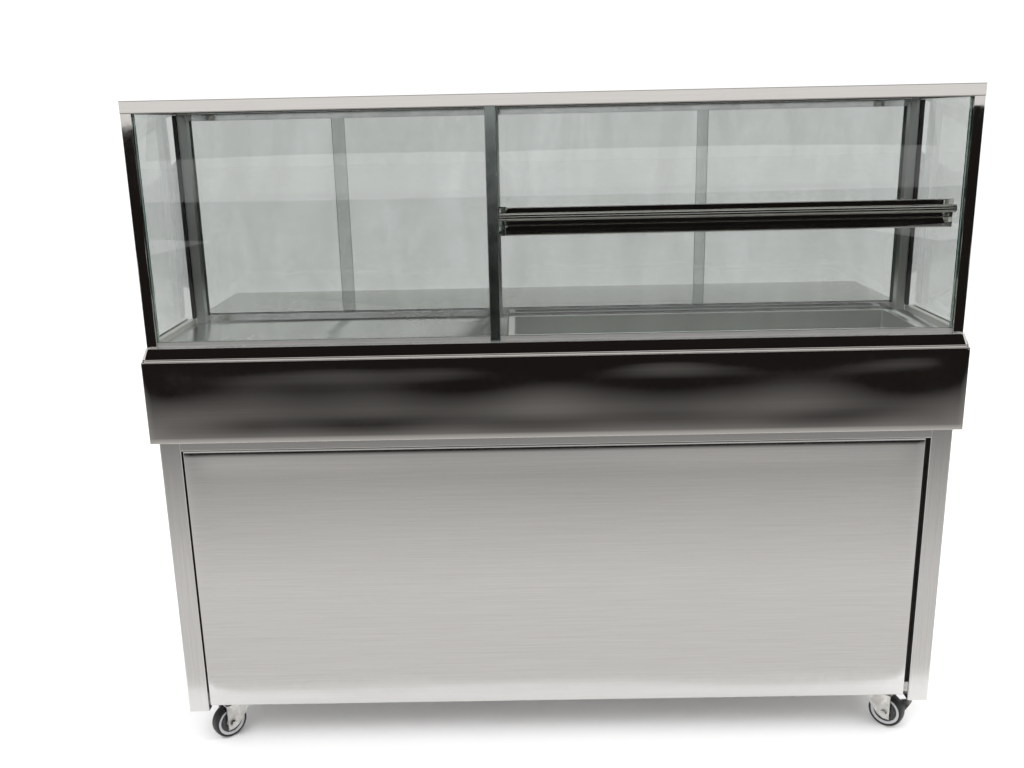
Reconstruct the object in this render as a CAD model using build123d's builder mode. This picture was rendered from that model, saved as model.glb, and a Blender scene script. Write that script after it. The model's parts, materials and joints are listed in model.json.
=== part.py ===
"""Bakery display case: a glass case with sliding rear doors on a stainless counter with casters.

X runs to the customer's right, -Y faces the customer and Z is up.
The origin is on the floor, at the middle of the overall footprint.
"""
import math
import os

from build123d import *

os.makedirs("parts", exist_ok=True)

# Overall sizes, in millimetres
OVERALL_W = 1524  # five feet across the worktop
OVERALL_D = 640
OVERALL_H = 1279
DECK_Z = 838  # top face of the worktop
CASTER_H = 90  # underside of the frame, on which the caster plates are bolted
POST_FOOT_Z = 79  # the corner posts end a little below the caster plates
SHEET = 1.5  # stainless sheet
GAP = 0.5  # clearance between neighbouring pieces that don't touch

# Counter frame
POST = 40  # square tube of the corner posts
RAIL = 25  # square tube of the rails
TUBE_WALL = 1.5
BASE_X = 750  # half width over the posts
BASE_FRONT = -308
BASE_REAR = 296
BASE_TOP = DECK_Z - SHEET
HEADER_Z = 636  # underside of the rails below the fascia band
PANEL_T = 12  # depth of the folded skirts on the panels
PANEL_BOTTOM = CASTER_H + 1
MID_SHELF_Z = 390

# Worktop and fascia band
NOSING_H = 24
NOSING_IN = 8
NOSING_DROP = 19
BAND_BOTTOM = 656
BAND_FOLD = 1.2  # outer radius of its folds
BAND_TOP = DECK_Z - NOSING_H - GAP
HALF_W = OVERALL_W / 2
HALF_D = OVERALL_D / 2

# Recessed well in the worktop
WELL_X = (-74, 690)
WELL_Y = (-252, -72)
WELL_DEPTH = 60
WELL_FLANGE = 10
WELL_FLANGE_T = 1.2
WELL_RADIUS = 6

# Glass case
TUBE = 19  # square tube of the case posts
TUBE_FOLD = 1.5  # outer radius of its corners
TOP_RAIL_H = 22
CASE_X = 754  # half width over the case
CASE_FRONT = -302
CASE_REAR = -18
REAR_POST_Y = -66  # front face of the rear posts
REAR_POST_X = 734  # outer face of the rear posts
DIVIDER_X = -107
GLASS = 6
DOOR_GLASS = 5
RAIL_UNDER = OVERALL_H - TOP_RAIL_H
INNER_X = CASE_X - TUBE
POST_BACK = CASE_FRONT + TUBE
LEDGE = 6  # width of the ledge under the top glass
JAMB_FRONT = REAR_POST_Y + TUBE
JAMB_T = 2
JAMB_EDGE = REAR_POST_X - 15  # inner edge of the jambs' flanges
TRACK_T = 3
TRACK_RIB_H = 9
TRACK_RIB_T = 3
TRACK_HEAD_T = 6
DOOR_PLAY = 1  # between a door and its jamb, and under the door
DOOR_OVERLAP = 24
OUTER_DOOR_Y = -30  # front face of the door in the outer groove
INNER_DOOR_Y = -42

# Shelf in the right compartment
SHELF_TOP = DECK_Z + 241
SHELF_H = 50
SHELF_FRONT = -275
SHELF_REAR = -70
SHELF_RIGHT = 726
BEAD_R = 8
BEAD_PROUD = 6
BEAD_DROP = 17  # from the shelf's top edge to the bead's middle
BEAD_EXTRA = 5  # the bead runs past the shelf's right end
SHELF_PLATE_Z = SHELF_TOP - 30
SHELF_HEM = 10
CLIP_W = 15
CLIP_H = 9

# Casters
CASTER_X = 664
CASTER_FRONT_Y = BASE_FRONT + 57
CASTER_REAR_Y = BASE_REAR - 57
TRAIL = 27
WHEEL_R = 35
WHEEL_W = 24
CORE_R = 29
AXLE_R = 4
RUN_FIT = 0.05  # radial clearance of a running fit
KINGPIN_R = 5
FORK_IN = 17  # half the gap between the fork legs
FORK_T = 3
CROWN_Z = 74

SIDES = (("left", -1), ("right", 1))
SIGNS = (-1, 1)


def write(builder, name):
    """Label a finished piece and write its STEP file."""
    builder.part.label = name
    export_step(builder.part, f"parts/{name}.step")


def block(a, b, mode=Mode.ADD):
    """Add or cut the box between two opposite corners."""
    low = [min(p, q) for p, q in zip(a, b)]
    high = [max(p, q) for p, q in zip(a, b)]
    with Locations(tuple((p + q) / 2 for p, q in zip(low, high))):
        Box(*[q - p for p, q in zip(low, high)], mode=mode)


def square_tube(a, b, axis, wall=TUBE_WALL, radius=2.5):
    """Add a square tube with rounded corners, open at both ends, along one axis."""
    low = [min(p, q) for p, q in zip(a, b)]
    high = [max(p, q) for p, q in zip(a, b)]
    width, depth, height = [q - p for p, q in zip(low, high)]
    x, y, z = [(p + q) / 2 for p, q in zip(low, high)]
    if axis == Axis.X:
        plane, centre, section, length = Plane.YZ.offset(low[0]), (y, z), (depth, height), width
    elif axis == Axis.Y:
        plane, centre, section, length = Plane.XZ.offset(-high[1]), (x, z), (width, height), depth
    else:
        plane, centre, section, length = Plane.XY.offset(low[2]), (x, y), (width, depth), height
    with BuildSketch(plane) as profile:
        with Locations(centre):
            RectangleRounded(section[0], section[1], radius)
            Rectangle(section[0] - 2 * wall, section[1] - 2 * wall, mode=Mode.SUBTRACT)
    extrude(profile.sketch, amount=length)


def glass_pane(name, a, b):
    """Write one flat pane with its edges ground."""
    with BuildPart() as pane:
        block(a, b)
        chamfer(pane.edges(), 0.6)
    write(pane, name)


# ---------------------------------------------------------------- counter frame

for side, s in SIDES:
    for end, y0, y1 in (("front", BASE_FRONT, BASE_FRONT + POST), ("rear", BASE_REAR - POST, BASE_REAR)):
        with BuildPart() as post:
            square_tube((s * BASE_X, y0, POST_FOOT_Z), (s * (BASE_X - POST), y1, BASE_TOP), Axis.Z, radius=3)
        write(post, f"base_post_{end}_{side}")

POST_IN_X = BASE_X - POST
POST_IN_FRONT = BASE_FRONT + POST
POST_IN_REAR = BASE_REAR - POST
RAIL_FRONT = BASE_FRONT + PANEL_T + 1
RAIL_SIDE = BASE_X - PANEL_T - 1

with BuildPart() as rails_bottom:
    z0 = CASTER_H
    z1 = CASTER_H + RAIL
    square_tube((-POST_IN_X, RAIL_FRONT, z0), (POST_IN_X, RAIL_FRONT + RAIL, z1), Axis.X)
    square_tube((-POST_IN_X, BASE_REAR - RAIL, z0), (POST_IN_X, BASE_REAR, z1), Axis.X)
    for s in SIGNS:
        square_tube((s * RAIL_SIDE, POST_IN_FRONT, z0), (s * (RAIL_SIDE - RAIL), POST_IN_REAR, z1), Axis.Y)
write(rails_bottom, "frame_rails_bottom")

HEADER_SETBACK = 1  # the upper rails lie this far inside the posts' outer faces
with BuildPart() as rails_top:
    front = BASE_FRONT + HEADER_SETBACK
    outer = BASE_X - HEADER_SETBACK
    for z0 in (HEADER_Z, BASE_TOP - RAIL):
        z1 = z0 + RAIL
        square_tube((-POST_IN_X, front, z0), (POST_IN_X, front + RAIL, z1), Axis.X)
        square_tube((-POST_IN_X, BASE_REAR - RAIL, z0), (POST_IN_X, BASE_REAR, z1), Axis.X)
        for s in SIGNS:
            square_tube((s * outer, POST_IN_FRONT, z0), (s * (outer - RAIL), POST_IN_REAR, z1), Axis.Y)
write(rails_top, "frame_rails_top")

DOOR_Y1 = BASE_REAR - 2  # outer face of the cabinet doors
DOOR_Y0 = DOOR_Y1 - 20
MULLION_Y = BASE_REAR - RAIL
with BuildPart() as mullion:
    square_tube(
        (-POST / 2, MULLION_Y - RAIL, CASTER_H + RAIL + SHEET),
        (POST / 2, MULLION_Y, HEADER_Z + RAIL),
        Axis.Z,
    )
write(mullion, "rear_mullion")

# ---------------------------------------------------------------- counter panels and shelves

PANEL_FOLD = 2  # outer radius of the folds
PANEL_GAPS = (3, 9)  # beside the posts, at the left and the right
PANEL_TOP = HEADER_Z - 1
with BuildPart() as front_panel:
    y0 = BASE_FRONT + 1
    block(
        (-POST_IN_X + PANEL_GAPS[0], y0, PANEL_BOTTOM),
        (POST_IN_X - PANEL_GAPS[1], y0 + PANEL_T, PANEL_TOP),
    )
    skin = front_panel.faces().sort_by(Axis.Y)[0]
    fillet(skin.edges(), PANEL_FOLD)
    offset(amount=-SHEET, openings=front_panel.faces().sort_by(Axis.Y)[-1])
write(front_panel, "front_panel")

for side, s in SIDES:
    with BuildPart() as side_panel:
        x0 = s * (BASE_X - 1)
        x1 = s * (BASE_X - PANEL_T)
        block((x0, POST_IN_FRONT + 2, PANEL_BOTTOM), (x1, POST_IN_REAR - 2, PANEL_TOP))
        skin = side_panel.faces().sort_by(Axis.X)[0 if s < 0 else -1]
        fillet(skin.edges(), PANEL_FOLD)
        offset(amount=-SHEET, openings=side_panel.faces().sort_by(Axis.X)[-1 if s < 0 else 0])
    write(side_panel, f"side_panel_{side}")

TRAYS = (
    ("bottom_shelf", CASTER_H + RAIL + SHEET, 0, BASE_REAR - 4),
    ("mid_shelf", MID_SHELF_Z, RAIL, MULLION_Y - RAIL - GAP),
)
for name, top, flange, rear in TRAYS:
    with BuildPart() as tray:
        front = RAIL_FRONT + 2
        block((-POST_IN_X, front, top - SHEET), (POST_IN_X, rear, top))
        if flange:
            for y0 in (front, rear - SHEET):
                block((-POST_IN_X, y0, top - flange), (POST_IN_X, y0 + SHEET, top))
    write(tray, name)

# ---------------------------------------------------------------- cabinet doors at the rear

CABINET_Z = (CASTER_H + RAIL + 3, HEADER_Z - 3)
DOOR_EDGE = POST_IN_X - 3
DOOR_MEETING = 1.5  # half the gap between the two doors
HANDLE_X = 46
HANDLE_Z = (398, 518)
HANDLE_R = 5
STUD_R = 4
STUD_INSET = 12  # from the ends of the handle to its studs
HANDLE_REACH = 16  # from the door's face to the handle's axis
HINGE_X = POST_IN_X - 1.5
HINGE_Y = BASE_REAR + 4
HINGE_PIN_R = 2.5
KNUCKLE_R = 5
KNUCKLE_H = 18
KNUCKLE_GAP = 0.3
HINGE_H = 60
HINGE_LEAF = 22
LEAF_T = 2
LEAF_CLEAR = 7  # the fixed leaf's plate starts this far from the pin
HINGE_Z = (170, 530)

for side, s in SIDES:
    with BuildPart() as door:
        block((s * DOOR_EDGE, DOOR_Y0, CABINET_Z[0]), (s * DOOR_MEETING, DOOR_Y1, CABINET_Z[1]))
        skin = door.faces().sort_by(Axis.Y)[-1]
        fillet(skin.edges(), 2)
        offset(amount=-SHEET, openings=door.faces().sort_by(Axis.Y)[0])
    write(door, f"cabinet_door_{side}")

    with BuildPart() as handle:
        for z in (HANDLE_Z[0] + STUD_INSET, HANDLE_Z[1] - STUD_INSET):
            with BuildSketch(Plane.XZ.offset(-DOOR_Y1)):
                with Locations((s * HANDLE_X, z)):
                    Circle(STUD_R)
            extrude(amount=-HANDLE_REACH - 2)
        with BuildSketch(Plane.XY.offset(HANDLE_Z[0])):
            with Locations((s * HANDLE_X, DOOR_Y1 + HANDLE_REACH)):
                Circle(HANDLE_R)
        extrude(amount=HANDLE_Z[1] - HANDLE_Z[0])
        fillet(handle.edges().group_by(Axis.Z)[0] + handle.edges().group_by(Axis.Z)[-1], 2)
    write(handle, f"cabinet_handle_{side}")

    with BuildPart() as moving_leaf:
        for z in HINGE_Z:
            with BuildSketch(Plane.XY.offset(z + KNUCKLE_H + KNUCKLE_GAP)):
                with Locations((s * HINGE_X, HINGE_Y)):
                    Circle(KNUCKLE_R)
                with Locations((s * (HINGE_X - HINGE_LEAF / 2), DOOR_Y1 + LEAF_T / 2)):
                    Rectangle(HINGE_LEAF, LEAF_T)
                with Locations((s * HINGE_X, HINGE_Y)):
                    Circle(HINGE_PIN_R + RUN_FIT, mode=Mode.SUBTRACT)
            extrude(amount=HINGE_H - 2 * (KNUCKLE_H + KNUCKLE_GAP))
    write(moving_leaf, f"hinge_leaf_{side}")

with BuildPart() as fixed_leaves:
    for s in SIGNS:
        for z in HINGE_Z:
            for z0 in (z, z + HINGE_H - KNUCKLE_H):
                with BuildSketch(Plane.XY.offset(z0)):
                    with Locations((s * HINGE_X, HINGE_Y)):
                        Circle(KNUCKLE_R)
                    with Locations((s * (HINGE_X + HINGE_LEAF / 2), BASE_REAR + LEAF_T / 2)):
                        Rectangle(HINGE_LEAF, LEAF_T)
                extrude(amount=KNUCKLE_H)
            block(
                (s * (HINGE_X + LEAF_CLEAR), BASE_REAR, z),
                (s * (HINGE_X + HINGE_LEAF), BASE_REAR + LEAF_T, z + HINGE_H),
            )
            with BuildSketch(Plane.XY.offset(z)):
                with Locations((s * HINGE_X, HINGE_Y)):
                    Circle(HINGE_PIN_R)
            extrude(amount=HINGE_H)
write(fixed_leaves, "hinge_leaves_fixed")

# ---------------------------------------------------------------- worktop, well and fascia band

with BuildPart() as worktop:
    block((-HALF_W, -HALF_D, DECK_Z - NOSING_H), (HALF_W, HALF_D, DECK_Z))
    fillet(worktop.edges().filter_by(Axis.Z), NOSING_IN + 2)
    rim = worktop.faces().sort_by(Axis.Z)[-1]
    chamfer(rim.edges(), NOSING_IN, NOSING_DROP, reference=rim)
    offset(amount=-SHEET, openings=worktop.faces().sort_by(Axis.Z)[0])
    with BuildSketch(Plane.XY.offset(DECK_Z)):
        with Locations((sum(WELL_X) / 2, sum(WELL_Y) / 2)):
            RectangleRounded(WELL_X[1] - WELL_X[0], WELL_Y[1] - WELL_Y[0], WELL_RADIUS)
    extrude(amount=-2 * SHEET, mode=Mode.SUBTRACT)
write(worktop, "worktop")

with BuildPart() as well_pan:
    centre = (sum(WELL_X) / 2, sum(WELL_Y) / 2)
    pan_w = WELL_X[1] - WELL_X[0] - 2 * GAP
    pan_d = WELL_Y[1] - WELL_Y[0] - 2 * GAP
    with BuildSketch(Plane.XY.offset(DECK_Z - WELL_DEPTH)):
        with Locations(centre):
            RectangleRounded(pan_w, pan_d, WELL_RADIUS)
    extrude(amount=WELL_DEPTH + WELL_FLANGE_T)
    with BuildSketch(Plane.XY.offset(DECK_Z)):
        with Locations(centre):
            RectangleRounded(pan_w + 2 * WELL_FLANGE, pan_d + 2 * WELL_FLANGE, WELL_RADIUS)
    extrude(amount=WELL_FLANGE_T)
    with BuildSketch(Plane.XY.offset(DECK_Z - WELL_DEPTH + SHEET)):
        with Locations(centre):
            RectangleRounded(pan_w - 2 * SHEET, pan_d - 2 * SHEET, WELL_RADIUS - SHEET)
    extrude(amount=WELL_DEPTH + SHEET, mode=Mode.SUBTRACT)
write(well_pan, "well_pan")

for name, y_face, inward, depth in (
    ("fascia_front", -HALF_D, 1, HALF_D + BASE_FRONT),
    ("fascia_rear", HALF_D, -1, HALF_D - BASE_REAR),
):
    with BuildPart() as fascia:
        block((-HALF_W, y_face, BAND_BOTTOM), (HALF_W, y_face + inward * SHEET, BAND_TOP))
        for z0 in (BAND_BOTTOM, BAND_TOP - SHEET):
            block((-HALF_W + SHEET, y_face, z0), (HALF_W - SHEET, y_face + inward * depth, z0 + SHEET))
        outer = fascia.edges().filter_by(Axis.X).group_by(Axis.Y)[0 if inward > 0 else -1]
        fillet(outer, BAND_FOLD)
    write(fascia, name)

with BuildPart() as fascia_sides:
    for s in SIGNS:
        y0 = -HALF_D + SHEET
        block((s * HALF_W, y0, BAND_BOTTOM), (s * (HALF_W - SHEET), -y0, BAND_TOP))
        for z0 in (BAND_BOTTOM, BAND_TOP - SHEET):
            block((s * HALF_W, BASE_FRONT, z0), (s * BASE_X, BASE_REAR, z0 + SHEET))
write(fascia_sides, "fascia_sides")

# ---------------------------------------------------------------- posts and rails of the glass case

for side, s in SIDES:
    with BuildPart() as front_post:
        inner = s * INNER_X
        square_tube(
            (s * CASE_X, CASE_FRONT, DECK_Z), (inner, POST_BACK, RAIL_UNDER), Axis.Z, radius=TUBE_FOLD
        )
    write(front_post, f"case_post_front_{side}")

    with BuildPart() as rear_post:
        outer = s * REAR_POST_X
        inner = s * (REAR_POST_X - TUBE)
        square_tube((outer, REAR_POST_Y, DECK_Z), (inner, JAMB_FRONT, RAIL_UNDER), Axis.Z, radius=TUBE_FOLD)
        jamb_in = s * JAMB_EDGE
        block((outer, JAMB_FRONT, DECK_Z), (outer - s * JAMB_T, CASE_REAR, RAIL_UNDER))
        for y0 in (JAMB_FRONT, CASE_REAR - JAMB_T):
            block((outer, y0, DECK_Z), (jamb_in, y0 + JAMB_T, RAIL_UNDER))
    write(rear_post, f"case_post_rear_{side}")

DIVIDER_HALF = TUBE / 2
with BuildPart() as divider_front:
    x0 = DIVIDER_X - DIVIDER_HALF
    x1 = DIVIDER_X + DIVIDER_HALF
    square_tube((x0, CASE_FRONT, DECK_Z), (x1, POST_BACK, RAIL_UNDER), Axis.Z, radius=TUBE_FOLD)
write(divider_front, "divider_post_front")

with BuildPart() as divider_rear:
    square_tube((x0, REAR_POST_Y, DECK_Z), (x1, JAMB_FRONT, RAIL_UNDER), Axis.Z, radius=TUBE_FOLD)
    block((DIVIDER_X - JAMB_T / 2, JAMB_FRONT, DECK_Z), (DIVIDER_X + JAMB_T / 2, CASE_REAR, RAIL_UNDER))
    for y0 in (JAMB_FRONT, CASE_REAR - JAMB_T):
        block((x0, y0, DECK_Z), (x1, y0 + JAMB_T, RAIL_UNDER))
write(divider_rear, "divider_post_rear")

LEDGE_Z = OVERALL_H - GLASS
LEDGE_T = 2
with BuildPart() as rail_front:
    square_tube((-CASE_X, CASE_FRONT, RAIL_UNDER), (CASE_X, POST_BACK, OVERALL_H), Axis.X, radius=TUBE_FOLD)
    block((-INNER_X, POST_BACK, LEDGE_Z - LEDGE_T), (INNER_X, POST_BACK + LEDGE, LEDGE_Z))
write(rail_front, "top_rail_front")

with BuildPart() as rail_rear:
    front = REAR_POST_Y
    square_tube((-INNER_X, front, RAIL_UNDER), (INNER_X, JAMB_FRONT, OVERALL_H), Axis.X, radius=TUBE_FOLD)
    block((-INNER_X, REAR_POST_Y, LEDGE_Z - LEDGE_T), (INNER_X, REAR_POST_Y - LEDGE, LEDGE_Z))
write(rail_rear, "top_rail_rear")

with BuildPart() as rail_sides:
    for s in SIGNS:
        inner = s * INNER_X
        square_tube(
            (s * CASE_X, POST_BACK, RAIL_UNDER), (inner, CASE_REAR, OVERALL_H), Axis.Y, radius=TUBE_FOLD
        )
        ledge_y = (POST_BACK + LEDGE, REAR_POST_Y - LEDGE)
        block((s * INNER_X, ledge_y[0], LEDGE_Z - LEDGE_T), (s * (INNER_X - LEDGE), ledge_y[1], LEDGE_Z))
write(rail_sides, "top_rail_sides")

# Channels that hold the lower edges of the fixed glass
SIDE_GLASS_X = (CASE_X - 2 - GLASS, CASE_X - 2)
FRONT_GLASS_Y = (CASE_FRONT + TUBE / 2 - GLASS / 2, CASE_FRONT + TUBE / 2 + GLASS / 2)
CHANNEL_H = 8
with BuildPart() as channels:
    fy0, fy1 = FRONT_GLASS_Y
    for x0, x1 in ((-INNER_X, DIVIDER_X - DIVIDER_HALF), (DIVIDER_X + DIVIDER_HALF, INNER_X)):
        block((x0, fy0 - 2.5, DECK_Z), (x1, fy1 + 2.5, DECK_Z + CHANNEL_H))
        block((x0, fy0 - 0.5, DECK_Z + 1.5), (x1, fy1 + 0.5, DECK_Z + CHANNEL_H), mode=Mode.SUBTRACT)
    for s in SIGNS:
        gx0, gx1 = SIDE_GLASS_X
        block((s * (gx1 + 1.7), POST_BACK, DECK_Z), (s * INNER_X, REAR_POST_Y, DECK_Z + CHANNEL_H + 2))
        block(
            (s * (gx1 + 0.4), POST_BACK, DECK_Z + 1.5),
            (s * (gx0 - 0.4), REAR_POST_Y, DECK_Z + CHANNEL_H + 2),
            mode=Mode.SUBTRACT,
        )
write(channels, "glass_channels")

# ---------------------------------------------------------------- fixed glass

GLASS_FOOT = DECK_Z + 2
GLASS_HEAD = RAIL_UNDER - GAP
glass_pane(
    "glass_front_left",
    (-INNER_X + GAP, FRONT_GLASS_Y[0], GLASS_FOOT),
    (DIVIDER_X - DIVIDER_HALF - GAP, FRONT_GLASS_Y[1], GLASS_HEAD),
)
glass_pane(
    "glass_front_right",
    (DIVIDER_X + DIVIDER_HALF + GAP, FRONT_GLASS_Y[0], GLASS_FOOT),
    (INNER_X - GAP, FRONT_GLASS_Y[1], GLASS_HEAD),
)
for side, s in SIDES:
    glass_pane(
        f"glass_side_{side}",
        (s * SIDE_GLASS_X[0], POST_BACK + GAP, GLASS_FOOT),
        (s * SIDE_GLASS_X[1], CASE_REAR, GLASS_HEAD),
    )
glass_pane(
    "glass_divider",
    (DIVIDER_X - GLASS / 2, POST_BACK + GAP, DECK_Z),
    (DIVIDER_X + GLASS / 2, REAR_POST_Y - GAP, GLASS_HEAD),
)
glass_pane(
    "glass_top",
    (-INNER_X + GAP, POST_BACK + GAP, LEDGE_Z),
    (INNER_X - GAP, REAR_POST_Y - GAP, OVERALL_H),
)

# ---------------------------------------------------------------- sliding doors and their tracks

DOOR_BAYS = (
    ("left", -REAR_POST_X + JAMB_T, DIVIDER_X - JAMB_T / 2),
    ("right", DIVIDER_X + JAMB_T / 2, REAR_POST_X - JAMB_T),
)
TRACK_SPANS = ((-JAMB_EDGE, DIVIDER_X - DIVIDER_HALF), (DIVIDER_X + DIVIDER_HALF, JAMB_EDGE))
DOOR_FOOT = DECK_Z + TRACK_T + DOOR_PLAY
TRACK_MID = (OUTER_DOOR_Y + INNER_DOOR_Y + DOOR_GLASS) / 2
TRACK_TOP_Z = RAIL_UNDER - 13
DOOR_HEAD = RAIL_UNDER - 1.5

with BuildPart() as tracks:
    for x0, x1 in TRACK_SPANS:
        block((x0, JAMB_FRONT, DECK_Z), (x1, CASE_REAR, DECK_Z + TRACK_T))
        block((x0, JAMB_FRONT, OVERALL_H - TRACK_HEAD_T), (x1, CASE_REAR, OVERALL_H))
        for y0 in (JAMB_FRONT, TRACK_MID - TRACK_RIB_T / 2, CASE_REAR - TRACK_RIB_T):
            block((x0, y0, DECK_Z), (x1, y0 + TRACK_RIB_T, DECK_Z + TRACK_T + TRACK_RIB_H))
            block((x0, y0, TRACK_TOP_Z), (x1, y0 + TRACK_RIB_T, OVERALL_H))
write(tracks, "door_tracks")

for bay, web0, web1 in DOOR_BAYS:
    width = (web1 - web0 - 2 * DOOR_PLAY + DOOR_OVERLAP) / 2
    glass_pane(
        f"sliding_door_{bay}_outer",
        (web0 + DOOR_PLAY, OUTER_DOOR_Y, DOOR_FOOT),
        (web0 + DOOR_PLAY + width, OUTER_DOOR_Y + DOOR_GLASS, DOOR_HEAD),
    )
    glass_pane(
        f"sliding_door_{bay}_inner",
        (web1 - DOOR_PLAY - width, INNER_DOOR_Y, DOOR_FOOT),
        (web1 - DOOR_PLAY, INNER_DOOR_Y + DOOR_GLASS, DOOR_HEAD),
    )

# ---------------------------------------------------------------- shelf in the right compartment

SHELF_LEFT = DIVIDER_X + DIVIDER_HALF + 1
with BuildPart() as shelf:
    bottom = SHELF_TOP - SHELF_H
    bead_z = SHELF_TOP - BEAD_DROP
    block((SHELF_LEFT, SHELF_FRONT, bottom), (SHELF_RIGHT, SHELF_FRONT + SHEET, SHELF_TOP))
    block((SHELF_LEFT, SHELF_FRONT, SHELF_PLATE_Z), (SHELF_RIGHT, SHELF_REAR, SHELF_PLATE_Z + SHEET))
    block((SHELF_LEFT, SHELF_FRONT, bottom), (SHELF_RIGHT, SHELF_FRONT + SHELF_HEM, bottom + SHEET))
    with BuildSketch(Plane.YZ.offset(SHELF_LEFT)):
        with BuildLine():
            top = (SHELF_FRONT, bead_z + BEAD_R)
            low = (SHELF_FRONT, bead_z - BEAD_R)
            ThreePointArc(top, (SHELF_FRONT - BEAD_PROUD, bead_z), low)
            Line(low, top)
        make_face()
    extrude(amount=SHELF_RIGHT + BEAD_EXTRA - SHELF_LEFT)
    block(
        (SHELF_LEFT, SHELF_FRONT, SHELF_TOP - CLIP_H),
        (SHELF_LEFT + CLIP_W, SHELF_FRONT + SHEET, SHELF_TOP),
        mode=Mode.SUBTRACT,
    )
write(shelf, "shelf")

ARM_T = 3
with BuildPart() as brackets:
    arm_top = SHELF_PLATE_Z
    for x0 in (DIVIDER_X + DIVIDER_HALF, REAR_POST_X - TUBE - ARM_T):
        with BuildSketch(Plane.YZ.offset(x0)):
            with BuildLine():
                Polyline(
                    (JAMB_FRONT, arm_top + 14),
                    (REAR_POST_Y, arm_top + 14),
                    (REAR_POST_Y, arm_top),
                    (SHELF_FRONT + 40, arm_top),
                    (SHELF_FRONT + 40, arm_top - 8),
                    (JAMB_FRONT, arm_top - 24),
                    close=True,
                )
            make_face()
        extrude(amount=ARM_T)
    block(
        (SHELF_LEFT - 1, SHELF_FRONT + 0.2, SHELF_TOP - CLIP_H + GAP),
        (SHELF_LEFT + CLIP_W - 1, SHELF_FRONT + 6, SHELF_TOP + 2),
    )
write(brackets, "shelf_brackets")

# ---------------------------------------------------------------- casters

# Each corner with the heading in which its wheel trails, in degrees from +X
CASTERS = (
    ("front_left", -CASTER_X, CASTER_FRONT_Y, -137),
    ("front_right", CASTER_X, CASTER_FRONT_Y, -39),
    ("rear_left", -CASTER_X, CASTER_REAR_Y, 160),
    ("rear_right", CASTER_X, CASTER_REAR_Y, 25),
)
PLATE_W = 90
PLATE_D = 64
PLATE_T = 3
RACE_R = 26
RACE_H = 5
KINGPIN_H = 16
FORK_RACE_H = 4.5
CROWN_L = 57
CROWN_MIDDLE = TRAIL - 16.5  # middle of the crown along the heading
AXLE_PROUD = 6  # the axle's ends past the fork
NUT_R = 7
NUT_H = 5
HEAD_H = 4
BRAKE_T = 2
HUB_R = 11
RIM_T = 4  # depth of the rim between the wheel's faces and its web
LEG_OUTLINE = (
    (TRAIL + 12, CROWN_Z + FORK_T),
    (TRAIL + 12, WHEEL_R - 12),
    (TRAIL, WHEEL_R - 12.5),
    (TRAIL - 12, WHEEL_R - 6),
    (TRAIL - 28, WHEEL_R + 13),
    (TRAIL - 45, CROWN_Z + FORK_T),
)
BRAKE_OUTLINE = (
    (TRAIL, WHEEL_R - 8),
    (TRAIL + 30, WHEEL_R - 6),
    (TRAIL + 43, WHEEL_R + 20),
    (TRAIL + 43, WHEEL_R + 30),
    (TRAIL, WHEEL_R + 8),
)

with BuildPart() as plates:
    for corner, x, y, heading in CASTERS:
        plate_z = CASTER_H - PLATE_T
        block((x - PLATE_W / 2, y - PLATE_D / 2, plate_z), (x + PLATE_W / 2, y + PLATE_D / 2, CASTER_H))
        for radius, height in ((RACE_R, RACE_H), (KINGPIN_R, KINGPIN_H)):
            with BuildSketch(Plane.XY.offset(plate_z)):
                with Locations((x, y)):
                    Circle(radius)
            extrude(amount=-height)
write(plates, "caster_plates")

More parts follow.
